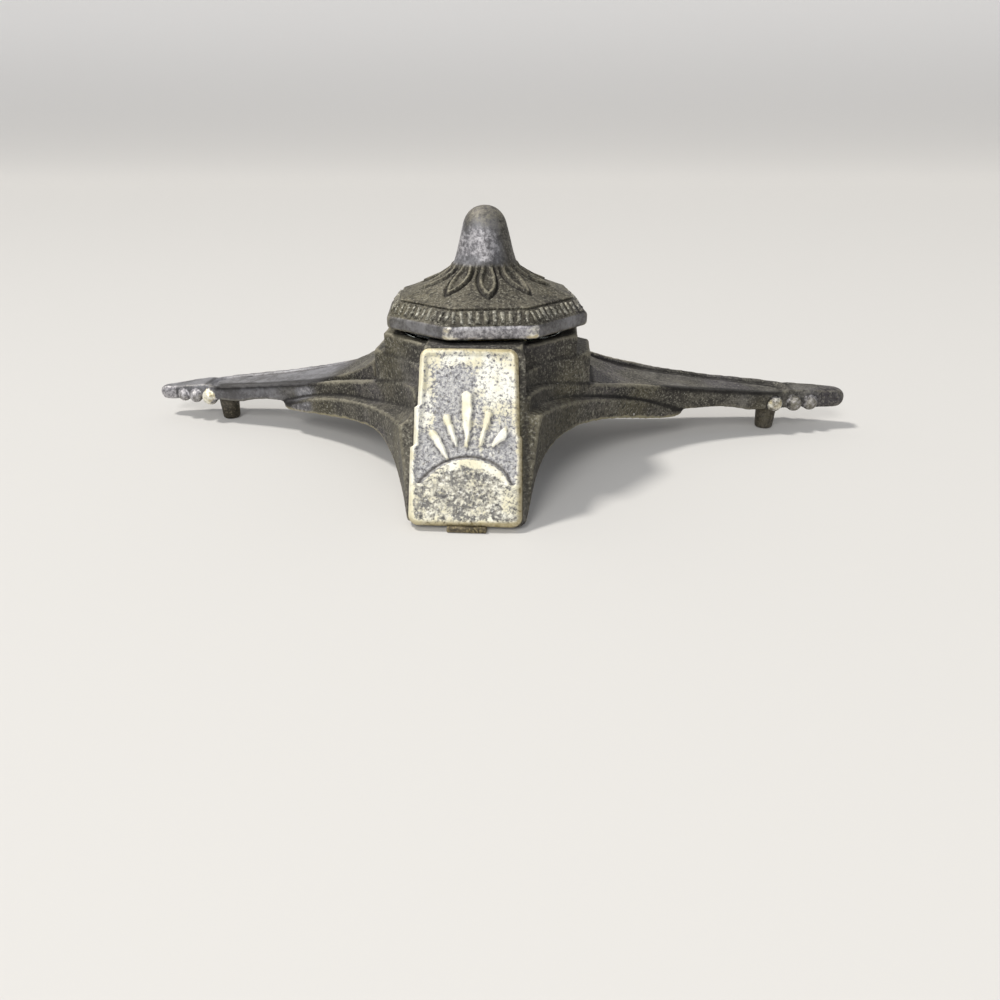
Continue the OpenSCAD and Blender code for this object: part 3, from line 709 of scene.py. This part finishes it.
foot_patina = patina("foot_patina", srgb(70, 62, 48), srgb(118, 106, 80), srgb(180, 165, 120))
peg_patina = patina("peg_patina", srgb(56, 51, 44), srgb(88, 82, 70), srgb(120, 112, 95))
FEET = (("front_foot", foot_patina, "front_foot"), ("left_peg", peg_patina, "peg"),
        ("right_peg", peg_patina, "peg"))
for node, finish, slot in FEET:
    skin = cast_copy(node, voxel=0.22)
    relax(skin, passes=2)
    out = standing_out(skin, passes=6)
    add_fields(skin, ridge=out / 0.3, hollow=-out / 0.3, arris=0, polish=0, silk=0.2, silver=0)
    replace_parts(dress(bpy.data.objects.new(node + "_worn", skin), finish, "base"), node)


# Lid

def lid_profile(spacing):
    """Half section of the lid from the hollow's top, out round the rim and up to the knob's top."""
    hollow = [(0, 10.0), (3.95, 10.0), (11.0, 8.1), (11.0, 0)]
    ring_groove = [(12.15, 0), (12.15, 1.2), (13.75, 1.2), (13.75, 0)]
    rim = [(18, 0), (23.3, 0), (23.75, 0.2), (24, 0.6), (24, 2.6), (23.8, 3.0)]
    eave = [(20.4, 6.0), (20.35, 6.3), (20.75, 6.42)]
    roof = bezier([ROOF_FOOT, (17, 7.8), (13, 9.5), (9.2, 11.95)])
    knob = bezier([KNOB_FOOT, (6.9, 14.6), (6.6, 17.6), KNOB_NECK])
    knob_end = bezier([KNOB_NECK, (4.8, 25.1), (2.7, 26.7), KNOB_TOP])[1:]
    slope = [SLOPE_FOOT, SLOPE_HEAD]
    corners = np.concatenate([hollow, ring_groove, rim, slope, eave, roof, knob, knob_end])
    run = np.concatenate([[0], np.cumsum(np.hypot(*np.diff(corners, axis=0).T))])
    at = np.linspace(0, run[-1], int(run[-1] / spacing))
    profile = np.stack([np.interp(at, run, corners[:, k]) for k in (0, 1)], 1)
    profile[1:-1] = (profile[:-2] + profile[2:] + 2 * profile[1:-1]) / 4
    return profile


def leaf_inside(x, y):
    """How far a place, seen from above, lies inside the nearest leaf."""
    radius, step = np.hypot(x, y), 2 * math.pi / LEAVES
    local = (np.arctan2(y, x) + math.pi / 2 + step / 2) % step - step / 2
    along = radius * np.cos(local) - (LEAF_REACH - LEAF_LENGTH / 2)
    across = np.abs(radius * np.sin(local))
    arc = (LEAF_LENGTH ** 2 + LEAF_WIDTH ** 2) / (4 * LEAF_WIDTH)
    return arc - np.hypot(along, across + arc - LEAF_WIDTH / 2)


def leaf_relief(points, on_roof):
    """Height of the leaves: each is a groove with a raised line inside it, round a sunk blade."""
    inner = leaf_inside(points[:, 0], points[:, 1]) + 0.1 * noise(points, 0.9, 34)
    first, second = LEAF_LINE, 2 * LEAF_LINE
    groove = smooth(-0.15, 0.2, inner) * smooth(first + 0.1, first - 0.2, inner)
    line = smooth(first - 0.15, first + 0.15, inner) * smooth(second + 0.2, second - 0.15, inner)
    blade = smooth(second, second + 0.5, inner)
    return on_roof * (0.42 * line - 0.45 * groove - 0.15 * blade)


def lid_mesh():
    """An eight-sided lid whose flats fade into the round knob and the round hollow."""
    profile = lid_profile(spacing=0.3)
    rows = len(profile)
    points, faces = turned(profile, LID_SEGMENTS)
    radius, z = np.repeat(profile[:, 0], LID_SEGMENTS), points[:, 2]
    angle = np.tile(np.arange(LID_SEGMENTS) * 2 * math.pi / LID_SEGMENTS, rows)
    top_side = np.repeat(np.arange(rows) > np.argmax(profile[:, 0]), LID_SEGMENTS)
    local = (angle + HALF_FACET) % (2 * HALF_FACET) - HALF_FACET
    # The corners between the flats are a little blunt
    flats = np.minimum(1 / np.cos(local), 1 / math.cos(HALF_FACET - 0.02))
    share = np.where(top_side, smooth(9, 18, radius), smooth(14.5, 19, radius))
    wide = radius * (1 + (flats - 1) * share)
    flat = np.column_stack([wide * np.cos(angle), wide * np.sin(angle), z])
    uneven = 0.045 * rough_noise(flat, 1.1, 31) * smooth(4, 9, radius) + 0.06 * noise(flat, 5, 33)
    lift = leaf_relief(flat, top_side * smooth(6.9, 7.3, z) * smooth(7.5, 8.1, radius)) + top_side * uneven
    slope = math.atan2(ROOF_HEAD[1] - ROOF_FOOT[1], ROOF_FOOT[0] - ROOF_HEAD[0])
    outward = np.column_stack([np.cos(angle) * math.sin(slope), np.sin(angle) * math.sin(slope),
                               np.full(len(angle), math.cos(slope))])
    mesh = bpy.data.meshes.new("lid_cast")
    mesh.from_pydata(((flat + outward * lift[:, None]) * MM).tolist(), [], faces)
    weld(mesh)
    return mesh


def lid_wear(mesh):
    """Keeps the lid's wear and painted light: silky knob and rim, gold at the front facet's ends, darker
    leaves, and painted sheen on the rim's front facet and on the knob's lit front-left side.
    """
    points, normals, out = read_points(mesh), read_normals(mesh), standing_out(mesh, passes=7)
    x, y, z = points.T
    radius, height = np.hypot(x, y), z + 1.6 * noise(points, 3, 60)
    rim = smooth(3.3, 2.9, z) * smooth(22, 23, radius) * smooth(0.2, 0.5, z)
    front_rim = rim * smooth(-22.6, -23.4, y)
    rim_ends = smooth(6.5, 9.6, np.abs(x)) + 0.9 * smooth(1.3, 0.5, z)
    slope = smooth(3.0, 3.4, z) * smooth(6.3, 6.0, z) * smooth(20, 20.6, radius)
    inner, roof = leaf_inside(x, y), smooth(7.0, 7.6, z) * smooth(7.8, 8.4, radius)
    line = smooth(0.75, 1.0, inner) * smooth(1.7, 1.4, inner)
    groove = smooth(-0.1, 0.3, inner) * smooth(0.85, 0.6, inner)
    sunk = 0.65 * groove + 0.25 * smooth(1.7, 2.0, inner)
    knob = smooth(12.6, 15, z) * smooth(9, 8, radius)
    # Painted sheen on the knob's lit front-left side and on the rim's front facet: silky and silvery grey,
    # with a touch of painted highlight in bright brass high on the knob
    knob_lit_side = knob * smooth(0.1, -0.6, normals[:, 0] * 0.7 + normals[:, 1] * 0.7)
    rim_silver = (0.8 + 0.25 * noise(points, 2.0, 61)) * front_rim
    knob_silver = 0.6 * knob_lit_side * smooth(24, 20, height) * smooth(13, 17, height)
    knob_silk_and_sheen = 0.3 * knob + 0.6 * knob_lit_side * smooth(26, 18, height)
    add_fields(mesh, ridge=np.maximum(out / 0.26 * (1 - knob), line * roof * 0.62),
               hollow=np.maximum.reduce([-out / 0.2, slope * 0.12, sunk * roof]),
               arris=0.35 * knob * smooth(19, 25, height), silk=0.55 * rim + 0.45 * front_rim + knob_silk_and_sheen,
               silver=rim_silver + knob_silver,
               polish=0.42 * front_rim * rim_ends + 0.1 * knob_lit_side * smooth(20, 24.5, height))


def seat_on_cup(mesh):
    """Turns a piece made about the lid's own axis as the lid lies, and sets it in place."""
    c, s = math.cos(LID_TURN), math.sin(LID_TURN)
    x, y, z = read_points(mesh).T
    write_points(mesh, np.column_stack([x * c - y * s, x * s + y * c, z]) + LID)
    return mesh


lid_patina = patina("lid_patina", srgb(72, 68, 60), srgb(104, 99, 86), srgb(146, 143, 128), 0.8)
reed_patina = patina("reed_patina", srgb(104, 101, 92), srgb(156, 153, 140), srgb(214, 211, 198), 0.6)
lid_cast = lid_mesh()
lid_wear(lid_cast)
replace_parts(dress(bpy.data.objects.new("lid_cast", seat_on_cup(lid_cast)), lid_patina, "lid"), "lid")


# Reeds round the lid

# Distance and Height are those of the reeds' middles, from the lid's axis and above its underside
REEDS = {"Reeds per side": 10, "Distance": 22.1, "Height": 4.65, "Length": 3.2, "Width": 1.1, "Depth": 0.8,
         "Tilt": math.atan2(SLOPE_HEAD[1] - SLOPE_FOOT[1], SLOPE_FOOT[0] - SLOPE_HEAD[0]), "Seed": 7}


def reed_tree():
    """Short worn reeds side by side up each of the eight slopes, each one a little different."""
    group = bpy.data.node_groups.new("reeds_round_lid", "GeometryNodeTree")
    for name, value in REEDS.items():
        kind = "NodeSocketInt" if isinstance(value, int) else "NodeSocketFloat"
        group.interface.new_socket(name, in_out="INPUT", socket_type=kind)
    group.interface.new_socket("Finish", in_out="INPUT", socket_type="NodeSocketMaterial")
    group.interface.new_socket("Geometry", in_out="OUTPUT", socket_type="NodeSocketGeometry")
    t = Tree(group)
    given = {s.name: Term(t, s) for s in group.nodes.new("NodeGroupInput").outputs if s.name}
    per_side, away = given["Reeds per side"], given["Distance"] * MM

    index = t.node("GeometryNodeInputIndex")
    side = (index / per_side).sum("FLOOR")
    share = (index - side * per_side + 0.5) / per_side - 0.5
    turn = side * (2 * HALF_FACET)
    across = share * away * (2 * math.tan(HALF_FACET))
    cos, sin = turn.sum("COSINE"), turn.sum("SINE")
    place = t.node("ShaderNodeCombineXYZ", None, {0: across * cos + away * sin, 1: across * sin - away * cos,
                                                  2: given["Height"] * MM})
    lean = t.node("ShaderNodeCombineXYZ", None, {0: given["Tilt"], 1: 0.0, 2: turn})
    spots = t.node("GeometryNodePoints", None, {"Count": per_side * FACETS, "Position": place})
    uneven = t.node("FunctionNodeRandomValue", {"data_type": "FLOAT_VECTOR"},
                    {"Min": (0.6, 0.7, 0.55), "Max": (1.15, 1.08, 1.15), "Seed": given["Seed"]})
    bar = t.node("GeometryNodeMeshCylinder", None, {"Vertices": 8, "Side Segments": 3, "Radius": 0.5 * MM,
                                                    "Depth": 1.0 * MM})
    bar = t.node("GeometryNodeTransform", None, {"Geometry": bar, "Rotation": (math.pi / 2, 0, 0)})
    size = t.node("ShaderNodeCombineXYZ", None, {0: given["Width"], 1: given["Length"], 2: given["Depth"]})
    reed = t.node("GeometryNodeTransform", None, {"Geometry": bar, "Scale": size})
    reeds = t.node("GeometryNodeInstanceOnPoints", None,
                   {"Points": spots, "Instance": reed, "Rotation": lean, "Scale": uneven})
    reeds = t.node("GeometryNodeRealizeInstances", None, {"Geometry": reeds})
    reeds = t.node("GeometryNodeSetMaterial", None, {"Geometry": reeds, "Material": given["Finish"]})
    group.links.new(reeds.socket, group.nodes.new("NodeGroupOutput").inputs["Geometry"])
    return group


def build_reeds():
    """The reeds as a plain mesh, worn uneven and kept with their wear."""
    carrier = bpy.data.objects.new("reeds", bpy.data.meshes.new("reeds"))
    bpy.context.scene.collection.objects.link(carrier)
    maker = carrier.modifiers.new("reeds", "NODES")
    maker.node_group = reed_tree()
    for socket in maker.node_group.interface.items_tree:
        if socket.in_out == "INPUT":
            maker[socket.identifier] = REEDS.get(socket.name, reed_patina)
    made = bpy.data.meshes.new_from_object(carrier.evaluated_get(bpy.context.evaluated_depsgraph_get()))
    carrier.modifiers.remove(maker)
    bpy.data.objects.remove(carrier)
    points = read_points(made)
    write_points(made, points + 0.14 * np.stack([noise(points, 0.9, 71 + k) for k in range(3)], 1))
    add_fields(made, ridge=0.4 + 0.5 * noise(points, 1.6, 70), hollow=-0.6 - 1.6 * noise(points, 1.3, 74),
               arris=0, polish=0, silk=0, silver=0)
    return seat_on_cup(made)


dress(bpy.data.objects.new("lid_reeds", build_reeds()), reed_patina, "lid")


# Glass cup and lid ring

def glass_finish():
    """Clear pressed glass, faintly green and a little uneven."""
    f = Finish("pressed_glass")
    return f.set(Base_Color=(0.86, 0.95, 0.92, 1), Roughness=f.noise(3, 3).step(0.55, 0.8) * 0.06 + 0.03,
                 Transmission_Weight=1.0, IOR=1.5, Normal=f.bump(f.noise(9, 2), 0.3))


def ring_finish():
    """Turned brass with fine marks of the tool round it."""
    f = Finish("ring_brass")
    turning = f.noise(1.2, 3, 0.6, f.stretched(1, 1, 12))
    return f.set(Base_Color=f.mix(turning.step(0.35, 0.7), srgb(120, 98, 56), srgb(176, 148, 92)),
                 Roughness=turning * 0.2 + 0.35, Metallic=0.9, Normal=f.bump(turning, 0.05))


def rounded(corners, radius, pieces=4):
    """A closed outline with each corner off the axis rounded."""
    out = []
    for i, b in enumerate(corners):
        a, c = (np.array(corners[k % len(corners)], float) for k in (i - 1, i + 1))
        b = np.array(b, float)
        if b[0] == 0:
            out.append(tuple(b))
            continue
        r = min(radius, np.linalg.norm(a - b) / 2.1, np.linalg.norm(c - b) / 2.1)
        start, end = b + (a - b) / np.linalg.norm(a - b) * r, b + (c - b) / np.linalg.norm(c - b) * r
        for k in range(pieces + 1):
            s = k / pieces
            out.append(tuple(start * (1 - s) ** 2 + b * 2 * s * (1 - s) + end * s ** 2))
    return out


def turned_piece(name, corners, radius, centre, material, body):
    """A piece turned from a closed outline whose corners are rounded by radius."""
    points, faces = turned(rounded(corners, radius), TURNED_SEGMENTS)
    piece = new_piece(name, points + centre, faces, material, body)
    weld(piece.data)
    return piece


cup_top = (cup_high - cup_low)[2]
flange = cup_top - FLANGE_THICK
glass = turned_piece("glass_cup", [(0, 0), (CUP_BODY, 0), (CUP_BODY, flange), (CUP_FLANGE, flange),
                                   (CUP_FLANGE, cup_top), (CUP_BORE, cup_top), (CUP_BORE, CUP_FLOOR),
                                   (0, CUP_FLOOR)], 1.6, np.array([*WELL[:2], cup_low[2]]),
                     glass_finish(), "cup")
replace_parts(glass, "ink_cup")
ring = turned_piece("lid_ring_brass", [(RING_BORE, RING_LOW), (RING_RIM, RING_LOW), (RING_RIM, RING_TOP),
                                       (RING_BORE, RING_TOP)], 0.25, LID, ring_finish(), "lid")
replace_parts(ring, "lid_ring")


# Floor, light and camera

def backdrop():
    """A pale floor that sweeps up into a wall far behind, in metres."""
    sweep = [(1.5 + math.sin(a), 1 - math.cos(a)) for a in np.linspace(0.1, math.pi / 2, 16)]
    curve = [(-4.0, 0.0), (1.5, 0.0), *sweep, (2.5, 4.0)]
    points = [(x, y, z) for y, z in curve for x in (-5, 5)]
    faces = [[2 * i, 2 * i + 1, 2 * i + 3, 2 * i + 2] for i in range(len(curve) - 1)]
    mesh = bpy.data.meshes.new("backdrop")
    mesh.from_pydata(points, [], faces)
    mesh.shade_smooth()
    f = Finish("pale_floor")
    height = f.node("ShaderNodeSeparateXYZ", None, {"Vector": f.place}, out="Z")
    glow = f.mix(height.step(-0.15, 0.5), (0, 0, 0), (0.42, 0.41, 0.4))
    mesh.materials.append(f.set(Base_Color=(0.56, 0.55, 0.53, 1), Roughness=0.9, Emission_Color=glow,
                                Emission_Strength=1.0))
    floor = bpy.data.objects.new("backdrop", mesh)
    bpy.context.scene.collection.objects.link(floor)


def lamp(name, kind, place, energy, size, colour):
    """A lamp that shines on the inkstand; a sun's size is its angle in degrees, else the width in metres."""
    data = bpy.data.lights.new(name, kind)
    data.energy, data.color = energy, colour
    if kind == "SUN":
        data.angle = math.radians(size)
    else:
        data.shape, data.size = "DISK", size
    light = bpy.data.objects.new(name, data)
    bpy.context.scene.collection.objects.link(light)
    light.location = place
    light.rotation_euler = (Vector((0, 0, 0.03)) - light.location).to_track_quat("-Z", "Y").to_euler()


backdrop()
world = bpy.data.worlds.new("studio")
bpy.context.scene.world = world
world.use_nodes = True
sky = next(n for n in world.node_tree.nodes if n.type == "BACKGROUND")
sky.inputs["Color"].default_value = (0.9, 0.93, 1.0, 1)
sky.inputs["Strength"].default_value = 0.35
lamp("key", "SUN", (-0.5, 0.12, 0.95), 2.5, 9, (1, 0.97, 0.92))
lamp("front", "AREA", (-0.25, -0.9, 0.75), 6.5, 0.5, (1, 0.99, 0.97))


# The camera: its turn to the left, tilt down and roll in degrees, its lens, and its place in metres
CAMERA_TURNS, LENS, SENSOR = (3.91, 25.32, -0.28), 27.07, 36.0
CAMERA_PLACE = (0.017, -0.19 + WELL[1] * MM, 0.0756)


def camera():
    """Low in front of the inkstand, a little to its right, looking down on the well."""
    yaw, pitch, roll = (math.radians(a) for a in CAMERA_TURNS)
    ahead, up = Vector((-math.sin(yaw), math.cos(yaw), 0)), Vector((0, 0, 1))
    right = Vector((math.cos(yaw), math.sin(yaw), 0))
    look = ahead * math.cos(pitch) - up * math.sin(pitch)
    over = ahead * math.sin(pitch) + up * math.cos(pitch)
    side = right * math.cos(roll) + over * math.sin(roll)
    over = over * math.cos(roll) - right * math.sin(roll)
    data = bpy.data.cameras.new("camera")
    data.lens, data.sensor_width, data.clip_start = LENS, SENSOR, 0.01
    cam = bpy.data.objects.new("camera", data)
    bpy.context.scene.collection.objects.link(cam)
    turn = Matrix((side, over, -look)).transposed().to_4x4()
    cam.matrix_world = Matrix.Translation(CAMERA_PLACE) @ turn
    bpy.context.scene.camera = cam


camera()
bpy.context.scene.view_settings.view_transform = "Standard"
